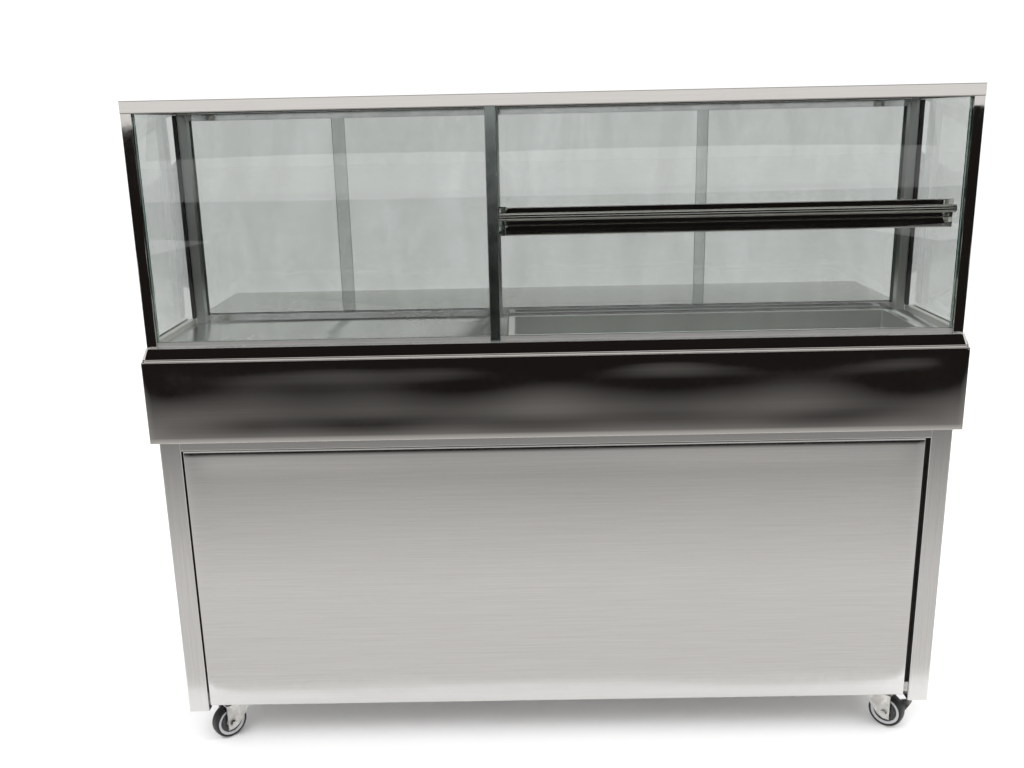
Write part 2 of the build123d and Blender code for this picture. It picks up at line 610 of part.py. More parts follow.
for corner, x, y, heading in CASTERS:
    trail_x = math.cos(math.radians(heading))
    trail_y = math.sin(math.radians(heading))
    upright = Plane(origin=(x, y, 0), x_dir=(trail_x, trail_y, 0), z_dir=(trail_y, -trail_x, 0))
    level = Plane(origin=(x, y, 0), x_dir=(trail_x, trail_y, 0), z_dir=(0, 0, 1))
    axle_at = (TRAIL, WHEEL_R)

    with BuildPart() as fork:
        for start in (FORK_IN, -FORK_IN - FORK_T):
            with BuildSketch(upright.offset(start)):
                with BuildLine():
                    Polyline(*LEG_OUTLINE, close=True)
                make_face()
                with Locations(axle_at):
                    Circle(AXLE_R + RUN_FIT, mode=Mode.SUBTRACT)
            extrude(amount=FORK_T)
        with BuildSketch(level.offset(CROWN_Z)):
            with Locations((CROWN_MIDDLE, 0)):
                Rectangle(CROWN_L, 2 * FORK_IN)
        extrude(amount=FORK_T)
        with BuildSketch(level.offset(CROWN_Z + FORK_T)):
            Circle(RACE_R - 2)
        extrude(amount=FORK_RACE_H)
        with BuildSketch(level.offset(CROWN_Z)):
            Circle(KINGPIN_R + RUN_FIT)
        extrude(amount=2 * FORK_RACE_H + FORK_T, mode=Mode.SUBTRACT)
        if corner == "front_right":
            with BuildSketch(upright.offset(-FORK_IN - FORK_T)):
                with BuildLine():
                    Polyline(*BRAKE_OUTLINE, close=True)
                make_face()
                with Locations(axle_at):
                    Circle(AXLE_R + RUN_FIT, mode=Mode.SUBTRACT)
            extrude(amount=-BRAKE_T)
        fork_out = FORK_IN + FORK_T
        with BuildSketch(upright.offset(-fork_out - AXLE_PROUD)):
            with Locations(axle_at):
                Circle(AXLE_R)
        extrude(amount=2 * (fork_out + AXLE_PROUD))
        for start, length in ((fork_out + 0.3, NUT_H), (-fork_out - BRAKE_T - 0.3, -HEAD_H)):
            with BuildSketch(upright.offset(start)):
                with Locations(axle_at):
                    RegularPolygon(NUT_R, 6)
            extrude(amount=length)
    write(fork, f"caster_fork_{corner}")

    with BuildPart() as core:
        with BuildSketch(upright):
            with Locations(axle_at):
                Circle(CORE_R)
        extrude(amount=WHEEL_W / 2 - 1, both=True)
        for sign in SIGNS:
            with BuildSketch(upright.offset(sign * (WHEEL_W / 2 - RIM_T))):
                with Locations(axle_at):
                    Circle(CORE_R - RIM_T)
            extrude(amount=sign * WHEEL_W, mode=Mode.SUBTRACT)
        with BuildSketch(upright):
            with Locations(axle_at):
                Circle(HUB_R)
        extrude(amount=FORK_IN - 1, both=True)
        with BuildSketch(upright):
            with Locations(axle_at):
                Circle(AXLE_R + RUN_FIT)
        extrude(amount=FORK_IN, both=True, mode=Mode.SUBTRACT)
    write(core, f"caster_wheel_{corner}")

    with BuildPart() as tyre:
        with BuildSketch(upright):
            with Locations(axle_at):
                Circle(WHEEL_R)
                Circle(CORE_R, mode=Mode.SUBTRACT)
        extrude(amount=WHEEL_W / 2, both=True)
        fillet(tyre.edges().filter_by(GeomType.CIRCLE).group_by(SortBy.LENGTH)[-1], 4)
    write(tyre, f"caster_tyre_{corner}")
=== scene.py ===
"""Looks of the bakery display case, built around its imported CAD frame. Every length is in metres."""
import json
import math

import bmesh
import bpy
from mathutils import Matrix, Vector, noise


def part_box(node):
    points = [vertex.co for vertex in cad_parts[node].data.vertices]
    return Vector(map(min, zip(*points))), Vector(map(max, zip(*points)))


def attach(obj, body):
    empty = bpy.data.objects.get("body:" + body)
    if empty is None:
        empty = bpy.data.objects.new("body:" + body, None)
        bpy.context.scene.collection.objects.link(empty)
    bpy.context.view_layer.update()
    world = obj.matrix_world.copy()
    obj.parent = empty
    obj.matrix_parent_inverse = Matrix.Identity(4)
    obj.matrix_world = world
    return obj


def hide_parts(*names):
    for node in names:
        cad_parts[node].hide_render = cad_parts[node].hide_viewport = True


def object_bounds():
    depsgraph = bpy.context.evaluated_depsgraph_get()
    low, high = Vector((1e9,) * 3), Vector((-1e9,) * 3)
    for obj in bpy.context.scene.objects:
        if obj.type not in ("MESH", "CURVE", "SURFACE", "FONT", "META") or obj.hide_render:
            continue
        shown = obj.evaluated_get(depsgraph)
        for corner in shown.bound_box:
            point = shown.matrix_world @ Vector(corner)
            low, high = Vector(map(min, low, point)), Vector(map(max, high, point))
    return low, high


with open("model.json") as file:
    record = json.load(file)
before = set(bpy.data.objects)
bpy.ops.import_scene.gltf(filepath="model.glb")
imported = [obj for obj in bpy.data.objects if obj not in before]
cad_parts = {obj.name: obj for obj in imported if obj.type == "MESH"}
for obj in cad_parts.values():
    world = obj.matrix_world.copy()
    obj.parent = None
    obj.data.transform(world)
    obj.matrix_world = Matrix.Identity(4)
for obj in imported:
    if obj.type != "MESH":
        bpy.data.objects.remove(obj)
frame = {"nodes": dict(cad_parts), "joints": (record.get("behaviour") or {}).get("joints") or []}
CAD_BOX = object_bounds()

MM = 0.001
SHEET = 1.5 * MM  # stainless sheet
SIDES = (("left", -1), ("right", 1))
CORNERS = ("front_left", "front_right", "rear_left", "rear_right")
X, Y, Z = range(3)


# ---------------------------------------------------------------- camera, light and floor

CAMERA_AT = (-0.0611, -2.1076, 1.2313)
CAMERA_YAW = math.radians(0.55)
CAMERA_PITCH = math.radians(-14.747)
CAMERA_ROLL = math.radians(-1.216)
CAMERA_LENS = 35.126
SENSOR = 36.0


def add_camera():
    """The customer's view from in front, just under the top of the case."""
    data = bpy.data.cameras.new("camera")
    data.sensor_width = SENSOR
    data.lens = CAMERA_LENS
    camera = bpy.data.objects.new("camera", data)
    bpy.context.scene.collection.objects.link(camera)
    turn = Matrix.Rotation(CAMERA_YAW, 4, "Z") @ Matrix.Rotation(math.pi / 2 + CAMERA_PITCH, 4, "X")
    camera.matrix_world = Matrix.Translation(CAMERA_AT) @ turn @ Matrix.Rotation(CAMERA_ROLL, 4, "Z")
    bpy.context.scene.camera = camera


def add_softbox(name, place, target, size, power):
    """A rectangular soft light that points at a target."""
    data = bpy.data.lights.new(name, "AREA")
    data.shape = "RECTANGLE"
    data.size, data.size_y = size
    data.energy = power
    light = bpy.data.objects.new(name, data)
    bpy.context.scene.collection.objects.link(light)
    light.location = place
    light.visible_glossy = False
    light.rotation_euler = (Vector(target) - Vector(place)).to_track_quat("-Z", "Y").to_euler()


def stage_plane(name, centre, size, turn, material):
    """A flat rectangle of the studio, which isn't part of the object."""
    mesh = bpy.data.meshes.new(name)
    half_w, half_d = size[0] / 2, size[1] / 2
    corners = [(-half_w, -half_d, 0), (half_w, -half_d, 0), (half_w, half_d, 0), (-half_w, half_d, 0)]
    mesh.from_pydata(corners, [], [(0, 1, 2, 3)])
    mesh.materials.append(material)
    plane = bpy.data.objects.new(name, mesh)
    plane.location = centre
    plane.rotation_euler = turn
    bpy.context.scene.collection.objects.link(plane)
    return plane


def only_in_reflections(plane):
    """Keep a studio card out of the picture and out of the diffuse light."""
    plane.visible_camera = False
    plane.visible_diffuse = False
    plane.visible_shadow = False
    plane.visible_transmission = False
    plane.visible_volume_scatter = False


# ---------------------------------------------------------------- material helpers


def material_tree(name):
    """A new material with an empty node tree."""
    material = bpy.data.materials.new(name)
    material.use_nodes = True
    material.node_tree.nodes.clear()
    return material, material.node_tree


def add_node(tree, kind, inputs=None, **settings):
    """Add a shader node, with its settings and its inputs as values or links."""
    made = tree.nodes.new("ShaderNode" + kind)
    for key, value in settings.items():
        setattr(made, key, value)
    for key, value in (inputs or {}).items():
        if isinstance(value, bpy.types.NodeSocket):
            tree.links.new(value, made.inputs[key])
        else:
            made.inputs[key].default_value = value
    return made


def output(tree, shader):
    """Join the last shader to the material's surface."""
    add_node(tree, "OutputMaterial", {"Surface": shader})


def noise_at(tree, stretch, scale, detail=4.0, roughness=0.5, distortion=0.0):
    """Noise in the object's own metres, stretched along its axes."""
    place = add_node(tree, "TexCoord").outputs["Object"]
    mapped = add_node(tree, "Mapping", {"Vector": place, "Scale": stretch}).outputs["Vector"]
    return add_node(tree, "TexNoise", {
        "Vector": mapped,
        "Scale": scale,
        "Detail": detail,
        "Roughness": roughness,
        "Distortion": distortion,
    }).outputs["Fac"]


def spread(tree, value, low, high, start=0.3, stop=0.7):
    """Map a texture's value to a range of numbers."""
    ends = {"Value": value, "From Min": start, "From Max": stop, "To Min": low, "To Max": high}
    return add_node(tree, "MapRange", ends).outputs["Result"]


def two_colours(tree, value, dark, light, start=0.3, stop=0.7):
    """Map a texture's value to a blend of two colours."""
    ramp = add_node(tree, "ValToRGB", {"Fac": value})
    ramp.color_ramp.elements[0].position = start
    ramp.color_ramp.elements[0].color = (*dark, 1.0)
    ramp.color_ramp.elements[1].position = stop
    ramp.color_ramp.elements[1].color = (*light, 1.0)
    return ramp.outputs["Color"]


def bumps(tree, *layers):
    """Stack bumps, each given as its height, its strength and its depth in metres."""
    normal = None
    for height, strength, depth in layers:
        inputs = {"Height": height, "Strength": strength, "Distance": depth}
        if normal:
            inputs["Normal"] = normal
        normal = add_node(tree, "Bump", inputs).outputs["Normal"]
    return normal


# ---------------------------------------------------------------- materials

ALONG_X = (1, 90, 90)
ALONG_Y = (90, 1, 90)
ALONG_Z = (90, 90, 1)


def steel(name, dark, light, smooth, rough, grain, scratch, wave_depth, wave_size=3.0):
    """Stainless steel with a grain, wiping marks and the slight waviness of thin sheet."""
    material, tree = material_tree(name)
    lines = noise_at(tree, grain, 6.0, detail=6.0, roughness=0.65)
    smudges = noise_at(tree, (1, 1, 1), 5.0, detail=5.0, roughness=0.6, distortion=0.6)
    wipes = noise_at(tree, (1, 1, 1), 38.0, detail=3.0, roughness=0.7, distortion=1.2)
    waves = noise_at(tree, (1, 1, 1), wave_size, detail=1.0, roughness=0.3)
    marks = add_node(tree, "Math", {0: smudges, 1: wipes}, operation="MULTIPLY").outputs[0]
    normal = bumps(tree, (waves, 1.0, wave_depth), (lines, scratch, 0.1 * MM))
    surface = add_node(tree, "BsdfPrincipled", {
        "Base Color": two_colours(tree, lines, dark, light, 0.2, 0.8),
        "Metallic": 1.0,
        "Roughness": spread(tree, marks, smooth, rough, 0.12, 0.4),
        "Normal": normal,
    })
    output(tree, surface.outputs["BSDF"])
    return material


def glass_body():
    """Float glass, tinted grey as painted shade on all that is seen through it, with a film of dust and
    wiping marks.
    """
    material, tree = material_tree("float_glass")
    film = noise_at(tree, (1, 1, 0.35), 9.0, detail=6.0, roughness=0.65, distortion=0.8)
    # painted shade: the grey tint darkens everything seen through the panes
    tint = two_colours(tree, film, (0.79, 0.80, 0.79), (0.86, 0.87, 0.865), 0.25, 0.75)
    clear = add_node(tree, "BsdfTransparent", {"Color": tint}).outputs["BSDF"]
    gloss = add_node(tree, "BsdfGlossy", {"Color": (1, 1, 1, 1), "Roughness": 0.015}).outputs["BSDF"]
    fresnel = add_node(tree, "Fresnel", {"IOR": 1.6}).outputs["Fac"]
    inside = add_node(tree, "NewGeometry").outputs["Backfacing"]
    outside = add_node(tree, "Math", {0: 1.0, 1: inside}, operation="SUBTRACT").outputs[0]
    shine = add_node(tree, "Math", {0: fresnel, 1: outside}, operation="MULTIPLY").outputs[0]
    mixed = add_node(tree, "MixShader", {"Fac": shine, 1: clear, 2: gloss}).outputs["Shader"]
    output(tree, mixed)
    return material


def glass_edge():
    """The green ground edge of float glass."""
    material, tree = material_tree("ground_glass_edge")
    grind = noise_at(tree, (1, 1, 1), 420.0, detail=3.0)
    surface = add_node(tree, "BsdfPrincipled", {
        "Base Color": two_colours(tree, grind, (0.10, 0.19, 0.16), (0.30, 0.44, 0.39)),
        "Roughness": spread(tree, grind, 0.18, 0.4),
        "Coat Weight": 0.4,
        "Normal": bumps(tree, (grind, 0.3, 0.2 * MM)),
    })
    output(tree, surface.outputs["BSDF"])
    return material


def rubber(name, dark, light, grain_scale, rough):
    """Moulded rubber or soft plastic with a fine grain and dusty patches."""
    material, tree = material_tree(name)
    grain = noise_at(tree, (1, 1, 1), grain_scale, detail=4.0)
    dust = noise_at(tree, (1, 1, 1), 24.0, detail=4.0, distortion=0.5)
    surface = add_node(tree, "BsdfPrincipled", {
        "Base Color": two_colours(tree, dust, dark, light, 0.35, 0.75),
        "Roughness": spread(tree, grain, rough - 0.12, rough + 0.12),
        "Normal": bumps(tree, (grain, 0.35, 0.3 * MM)),
    })
    output(tree, surface.outputs["BSDF"])
    return material


def zinc():
    """Bright zinc plating with its crystalline mottling and dull spots."""
    material, tree = material_tree("zinc_plate")
    place = add_node(tree, "TexCoord").outputs["Object"]
    flakes = add_node(tree, "TexVoronoi", {"Vector": place, "Scale": 260.0}).outputs["Distance"]
    dull = noise_at(tree, (1, 1, 1), 60.0, detail=5.0, distortion=0.4)
    surface = add_node(tree, "BsdfPrincipled", {
        "Base Color": two_colours(tree, dull, (0.42, 0.41, 0.39), (0.66, 0.65, 0.62)),
        "Metallic": 1.0,
        "Roughness": spread(tree, dull, 0.42, 0.2),
        "Normal": bumps(tree, (flakes, 0.15, 0.2 * MM)),
    })
    output(tree, surface.outputs["BSDF"])
    return material


def floor_material():
    """Plain pale floor."""
    material, tree = material_tree("pale_floor")
    tone = noise_at(tree, (1, 1, 1), 1.2, detail=3.0)
    surface = add_node(tree, "BsdfPrincipled", {
        "Base Color": two_colours(tree, tone, (0.95, 0.95, 0.95), (0.98, 0.98, 0.98)),
        "Roughness": 0.7,
        "Specular IOR Level": 0.0,
    })
    output(tree, surface.outputs["BSDF"])
    return material


def card_material(name, far, near):
    """A plain studio card for polished steel to mirror, with a soft fade from far to near."""
    material, tree = material_tree(name)
    place = add_node(tree, "TexCoord").outputs["Generated"]
    along = add_node(tree, "SeparateXYZ", {"Vector": place}).outputs["Y"]
    tone = two_colours(tree, along, far, near, 0.6, 0.92)
    output(tree, add_node(tree, "Emission", {"Color": tone}).outputs["Emission"])
    return material


# Dark and light tone, smoothest and roughest gloss, grain, depth of the scratches and of the waves
POLISHED = (0.56, 0.535, 0.51), (0.62, 0.6, 0.58)
BRUSHED = (0.57, 0.56, 0.55), (0.66, 0.65, 0.64)
MIRROR = steel("mirror_steel", *POLISHED, 0.015, 0.06, ALONG_X, 0.01, 1.2 * MM)
MIRROR_UPRIGHT = steel("mirror_tube", *POLISHED, 0.015, 0.07, ALONG_Z, 0.01, 1.6 * MM, 5.0)
SATIN = steel("satin_sheet", *BRUSHED, 0.09, 0.15, ALONG_X, 0.05, 0.5 * MM)
SATIN_SIDE = steel("satin_sheet_side", *BRUSHED, 0.09, 0.15, ALONG_Y, 0.05, 0.5 * MM)
SATIN_POST = steel("satin_post", (0.56, 0.55, 0.54), (0.65, 0.64, 0.63), 0.16, 0.26, ALONG_Z, 0.1, 0.4 * MM)
CASE_TUBE = steel("case_tube", (0.62, 0.64, 0.62), (0.72, 0.74, 0.72), 0.3, 0.4, ALONG_Z, 0.03, 1.2 * MM, 6.0)
# painted shade: the front divider post is coloured dark, with a green cast like the glass edge beside it,
# darker than the rear posts of the same tube
DIVIDER_SHADE_STEEL = steel("divider_painted_shade", (0.26, 0.3, 0.28), (0.36, 0.4, 0.38), 0.16, 0.28, ALONG_Z, 0.03,
                     1.2 * MM, 6.0)
CHANNEL = steel("glazing_channel", (0.82, 0.81, 0.79), (0.9, 0.89, 0.87), 0.46, 0.52, ALONG_X, 0.02, 0.2 * MM)
TRACK = steel("track_steel", (0.78, 0.78, 0.79), (0.86, 0.86, 0.87), 0.05, 0.09, ALONG_X, 0.01, 0.1 * MM)
DECK = steel("deck_sheet", (0.58, 0.585, 0.57), (0.66, 0.665, 0.65), 0.22, 0.28, ALONG_X, 0.06, 0.6 * MM)
WELL = steel("well_sheet", (0.74, 0.75, 0.73), (0.84, 0.85, 0.83), 0.28, 0.34, ALONG_X, 0.12, 0.4 * MM)
GLASS = glass_body()
GLASS_EDGE = glass_edge()
TYRE = rubber("tyre_rubber", (0.005, 0.005, 0.006), (0.014, 0.014, 0.014), 700.0, 0.5)
# painted shade: dark strips that stand in for the shade in the gaps beside the front panel
PANEL_GAP_SHADE_DARK = rubber("painted_panel_gap_shade", (0.012, 0.009, 0.007), (0.022, 0.018, 0.015), 420.0, 0.6)
# painted shade: black strips that stand in for the shadow gap beside each rear post
REAR_POST_SHADE_DARK = rubber("gasket_rubber", (0.008, 0.008, 0.008), (0.02, 0.02, 0.02), 500.0, 0.4)
WHEEL_GREY = rubber("wheel_plastic", (0.42, 0.42, 0.43), (0.55, 0.55, 0.56), 300.0, 0.42)
COVER = rubber("dust_cover_plastic", (0.012, 0.012, 0.013), (0.03, 0.03, 0.03), 300.0, 0.28)
ZINC = zinc()


# ---------------------------------------------------------------- mesh helpers


def link_mesh(name, bm, materials, body, replaced=(), sharp=35):
    """Turn a bmesh into a piece that rides on a body."""
    mesh = bpy.data.meshes.new(name)
    bm.to_mesh(mesh)
    bm.free()
    mesh.shade_smooth()
    mesh.set_sharp_from_angle(angle=math.radians(sharp))
    for material in materials:
        mesh.materials.append(material)
    piece = bpy.data.objects.new(name, mesh)
    bpy.context.scene.collection.objects.link(piece)
    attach(piece, body)
    if replaced:
        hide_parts(*replaced)
    return piece


def add_slab(bm, low, high, bevel, segments=2):
    """Add a box between two corners, with its edges rounded."""
    low, high = Vector(low), Vector(high)
    verts = bmesh.ops.create_cube(bm, size=1.0)["verts"]
    for v in verts:
        v.co = Vector((low[i] + high[i]) / 2 + v.co[i] * abs(high[i] - low[i]) for i in range(3))
    edges = list({e for v in verts for e in v.link_edges})
    bmesh.ops.bevel(bm, geom=edges, offset=bevel, segments=segments, profile=0.5, affect="EDGES", material=-1)


def frame_on(axis):
    """Two unit vectors square to an axis and to each other."""
    side = Vector((0, 0, 1)) if abs(axis.z) < 0.9 else Vector((1, 0, 0))
    u = axis.cross(side).normalized()
    return u, axis.cross(u).normalized()


def add_lathe(bm, centre, axis, profile, steps):
    """Turn a closed profile of (radius, place along the axis) about an axis."""
    u, v = frame_on(axis)
    rings = []
    for k in range(steps):
        angle = 2 * math.pi * k / steps
        out = u * math.cos(angle) + v * math.sin(angle)
        rings.append([bm.verts.new(centre + out * r + axis * t) for r, t in profile])
    count = len(profile)
    for k in range(steps):
        near, far = rings[k], rings[(k + 1) % steps]
        for i in range(count):
            j = (i + 1) % count
            bm.faces.new((near[i], near[j], far[j], far[i]))


def arc(centre, radius, start, stop, steps=8):
    """Points on an arc in a plane, with its angles in degrees."""
    for k in range(steps + 1):
        angle = math.radians(start + (stop - start) * k / steps)
        yield centre[0] + radius * math.cos(angle), centre[1] + radius * math.sin(angle)


def mesh_span(node, centre, axis):
    """A CAD node's reach along an axis, as its lowest and highest place, and its radius about it."""
    places, radii = [], []
    for vertex in frame["nodes"][node].data.vertices:
        offset = vertex.co - centre
        along = offset.dot(axis)
        places.append(along)
        radii.append((offset - axis * along).length)
    return min(places), max(places), max(radii)


# ---------------------------------------------------------------- glass


PANE_ARRIS = 0.8 * MM


def add_pane(name, node, body):
    """A glass pane with ground edges in place of its plain CAD solid."""
    low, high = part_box(node)
    size = high - low
    thin = min(range(3), key=lambda i: size[i])
    bm = bmesh.new()
    add_slab(bm, low, high, PANE_ARRIS)
    bm.normal_update()
    for f in bm.faces:
        f.material_index = 0 if abs(f.normal[thin]) > 0.9 else 1
    link_mesh(name, bm, (GLASS, GLASS_EDGE), body, (node,))


def add_fixed_glass():
    """The six panes that don't move."""
    for node in ("front_left", "front_right", "side_left", "side_right", "divider", "top"):
        add_pane(f"pane_{node}", f"glass_{node}", "counter")


def add_sliding_doors():
    """The four glass doors at the back."""
    for bay in ("left", "right"):
        for leaf in ("outer", "inner"):
            add_pane(f"pane_{bay}_{leaf}", f"sliding_door_{bay}_{leaf}", f"door_{bay}_{leaf}")


# ---------------------------------------------------------------- folded sheet panels


def fold_line(start, stop, skirt, radius, cells):
    """Places across a sheet and how far each lies behind its face: skirt, fold, flat, fold, skirt."""
    edge = [(0.0, skirt), (0.0, radius)] if skirt > radius else [(0.0, radius)]
    edge += [(radius - radius * math.cos(a), radius - radius * math.sin(a))
             for a in (math.pi / 2 * k / 4 for k in range(1, 5))]
    span = stop - start
    flat = [(radius + (span - 2 * radius) * k / cells, 0.0) for k in range(1, cells)]
    far = [(span - across, depth) for across, depth in reversed(edge)]
    return [(start + across, depth) for across, depth in edge + flat + far]


def ease(t):
    """A smooth step from 0 to 1."""
    t = min(max(t, 0.0), 1.0)
    return t * t * (3 - 2 * t)


def add_sheet_face(name, low, high, out, skirts, radius, bow, material, body, replaced, cells):
    """A folded sheet that fills a box: an uneven face that looks along `out`, with folds and skirts.

    `bow` gives how far the face bows inward at a place, as fractions of its width and height.
    """
    normal_axis, sign = out
    u_axis = Y if normal_axis == X else X
    face = high[normal_axis] if sign > 0 else low[normal_axis]
    across = fold_line(low[u_axis], high[u_axis], skirts[0], radius, cells[0])
    upward = fold_line(low.z, high.z, skirts[1], radius, cells[1])
    bm = bmesh.new()
    grid = []
    for z, depth_z in upward:
        row = []
        for u, depth_u in across:
            depth = max(depth_u, depth_z)
            if depth_u == depth_z == 0.0:
                s = (u - low[u_axis]) / (high[u_axis] - low[u_axis])
                t = (z - low.z) / (high.z - low.z)
                edge = min(s, 1 - s) * (high[u_axis] - low[u_axis]), min(t, 1 - t) * (high.z - low.z)
                depth = bow(s, t) * ease(edge[0] / 0.06) * ease(edge[1] / 0.05)
            place = Vector((0, 0, z))
            place[u_axis] = u
            place[normal_axis] = face - sign * depth
            row.append(bm.verts.new(place))
        grid.append(row)
    for lower, upper in zip(grid, grid[1:]):
        for a, b, c, d in zip(lower, lower[1:], upper[1:], upper):
            bm.faces.new((a, b, c, d))
    bmesh.ops.remove_doubles(bm, verts=bm.verts, dist=0.01 * MM)
    bmesh.ops.dissolve_degenerate(bm, dist=0.01 * MM, edges=bm.edges)
    bmesh.ops.recalc_face_normals(bm, faces=bm.faces)
    bm.normal_update()
    facing = sum(f.normal[normal_axis] * f.calc_area() for f in bm.faces)
    if facing * sign < 0:
        bmesh.ops.reverse_faces(bm, faces=bm.faces)
    piece = link_mesh(name, bm, (material,), body, replaced, sharp=50)
    sheet = piece.modifiers.new("sheet", "SOLIDIFY")
    sheet.thickness = SHEET
    sheet.offset = -1
    return piece


def bow_of(depth, waves_across, waves_up, seed):
    """A gentle unevenness, made of smooth noise that is the same in every run."""

    def bow(s, t):
        n = noise.noise(Vector((s * waves_across, t * waves_up, seed)))
        return depth * (0.5 + 0.5 * n)

    return bow


PANEL_FOLD = 2 * MM
PANEL_SKIRT = 12 * MM


def add_cabinet_panels():
    """The front and side panels of the counter and the skins of its two rear doors."""
    low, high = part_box("front_panel")
    add_sheet_face("front_skin", low, high, (Y, -1), (PANEL_SKIRT, PANEL_SKIRT), PANEL_FOLD,
                   bow_of(1.6 * MM, 2.6, 1.7, 0.35), SATIN, "counter",
                   ("front_panel",), (90, 50))
    for side, s in SIDES:
        low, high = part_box(f"side_panel_{side}")
        add_sheet_face(f"side_skin_{side}", low, high, (X, s), (PANEL_SKIRT, PANEL_SKIRT), PANEL_FOLD,
                       bow_of(1.2 * MM, 1.8, 1.9, 1.7 + s), SATIN_SIDE, "counter",
                       (f"side_panel_{side}",), (50, 50))
        low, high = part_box(f"cabinet_door_{side}")
        skirt = high.y - low.y
        add_sheet_face(f"door_skin_{side}", low, high, (Y, 1), (skirt, skirt), PANEL_FOLD,
                       bow_of(0.9 * MM, 2.1, 1.6, 5.2 + s), SATIN, f"cabinet_door_{side}",
                       (f"cabinet_door_{side}",), (60, 50))


PANEL_GAP_SHADE_T = 0.8 * MM
PANEL_GAP_SHADE_LAP = 8 * MM  # behind the edge of the panel
COVER_STRIP_T = 1.4 * MM
COVER_STRIP_DOWN, COVER_STRIP_UP = 3 * MM, 4.5 * MM  # below and above the joint


def add_panel_trim():
    """Dark strips behind the gaps beside the front panel, as painted shade in those gaps, and a satin strip
    over its top joint.
    """
    low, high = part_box("front_panel")
    for side, s in SIDES:
        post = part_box(f"base_post_front_{side}")
        edge, reach = (low.x, post[1].x) if s < 0 else (high.x, post[0].x)
        ends = sorted((edge - s * PANEL_GAP_SHADE_LAP, reach - s * 0.3 * MM))
        bm = bmesh.new()
        add_slab(bm, (ends[0], high.y + 0.1 * MM, low.z + 2 * MM),
                 (ends[1], high.y + PANEL_GAP_SHADE_T, high.z - 2 * MM), 0.3 * MM)
        link_mesh(f"painted_panel_gap_shade_{side}", bm, (PANEL_GAP_SHADE_DARK,), "counter")
    bm = bmesh.new()
    add_slab(bm, (low.x + 1 * MM, low.y + 0.15 * MM, high.z - COVER_STRIP_DOWN),
             (high.x - 1 * MM, low.y + COVER_STRIP_T, high.z + COVER_STRIP_UP), 0.2 * MM)
    link_mesh("header_strip", bm, (SATIN,), "counter")


BAND_FOLD = 1.4 * MM
BAND_BOW = 1.1 * MM


def add_fascia():
    """The mirror-polished band under the worktop, on all four sides."""
    front_low, front_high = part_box("fascia_front")
    rear_low, rear_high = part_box("fascia_rear")
    sides_low, sides_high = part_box("fascia_sides")
    for name, low, high, sign in (("front", front_low, front_high, -1), ("rear", rear_low, rear_high, 1)):
        add_sheet_face(f"band_{name}", low, high, (Y, sign), (SHEET, high.y - low.y), BAND_FOLD,
                       bow_of(BAND_BOW, 7.0, 1.2, 3.1 + sign), MIRROR, "counter",
                       (f"fascia_{name}",), (140, 16))
    for side, s in SIDES:
        edge = sides_low.x if s < 0 else sides_high.x
        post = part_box(f"base_post_front_{side}")
        ends = sorted((edge, post[0].x if s < 0 else post[1].x))
        low = Vector((ends[0], sides_low.y, sides_low.z))
        high = Vector((ends[1], sides_high.y, sides_high.z))
        add_sheet_face(f"band_{side}", low, high, (X, s), (0.0, high.x - low.x), BAND_FOLD,
                       bow_of(BAND_BOW, 3.4, 1.2, 8.3 + s), MIRROR, "counter",
                       ("fascia_sides",), (70, 16))


# ---------------------------------------------------------------- worktop

NOSING_IN = 8 * MM
NOSING_DROP = 19 * MM
LIP_SLOPE = 0.9 * MM  # the rim leans out by this much, from its top to its foot
CORNER_R = 10 * MM
WELL_LOW, WELL_HIGH = (-74 * MM, -252 * MM), (690 * MM, -72 * MM)
WELL_R = 6 * MM


def rounded_rectangle(low, high, radius, steps=6):
    """The points of a rectangle with rounded corners, anticlockwise from above."""
    centres = ((high[0] - radius, high[1] - radius, 0), (low[0] + radius, high[1] - radius, 90),
               (low[0] + radius, low[1] + radius, 180), (high[0] - radius, low[1] + radius, 270))
    return [point for x, y, start in centres for point in arc((x, y), radius, start, start + 90, steps)]


def add_worktop():
    """The folded worktop sheet: a flat deck with the well's cut-out, a slanted nosing and a narrow rim."""
    low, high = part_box("worktop")
    lip_top = high.z - NOSING_DROP
    rim = [(0.0, low.z), (LIP_SLOPE, lip_top - 0.2 * MM), (LIP_SLOPE + 0.2 * MM, lip_top + 0.3 * MM)]
    rim += [(NOSING_IN - 0.5 * MM, high.z - 1.3 * MM), (NOSING_IN + 0.1 * MM, high.z - 0.3 * MM)]
    rim += [(NOSING_IN + 1 * MM, high.z)]
    bm = bmesh.new()
    loops = []
    for inset, z in rim:
        corners = rounded_rectangle((low.x + inset, low.y + inset), (high.x - inset, high.y - inset),
                                    CORNER_R - inset * 0.5)
        loops.append([bm.verts.new((x, y, z)) for x, y in corners])
    count = len(loops[0])
    for outer, inner in zip(loops, loops[1:]):
        for i in range(count):
            j = (i + 1) % count
            bm.faces.new((outer[i], outer[j], inner[j], inner[i])).material_index = 1
    well = [bm.verts.new((x, y, high.z)) for x, y in rounded_rectangle(WELL_LOW, WELL_HIGH, WELL_R)]
    border = [bm.edges.get((a, b)) for a, b in zip(loops[-1], loops[-1][1:] + loops[-1][:1])]
    border += [bm.edges.new((a, b)) for a, b in zip(well, well[1:] + well[:1])]
    bmesh.ops.triangle_fill(bm, use_beauty=True, edges=border, normal=(0, 0, 1))
    bmesh.ops.recalc_face_normals(bm, faces=bm.faces)
    piece = link_mesh("worktop_sheet", bm, (DECK, MIRROR), "counter", ("worktop",), sharp=12)
    sheet = piece.modifiers.new("sheet", "SOLIDIFY")
    sheet.thickness = SHEET
    sheet.offset = -1


# ---------------------------------------------------------------- shelf

BEAD_REACH = 5 * MM
BEAD_R = 6 * MM
BEAD_DROP = 17 * MM  # from the shelf's top edge to the bead's middle
PLATE_DROP = 29 * MM


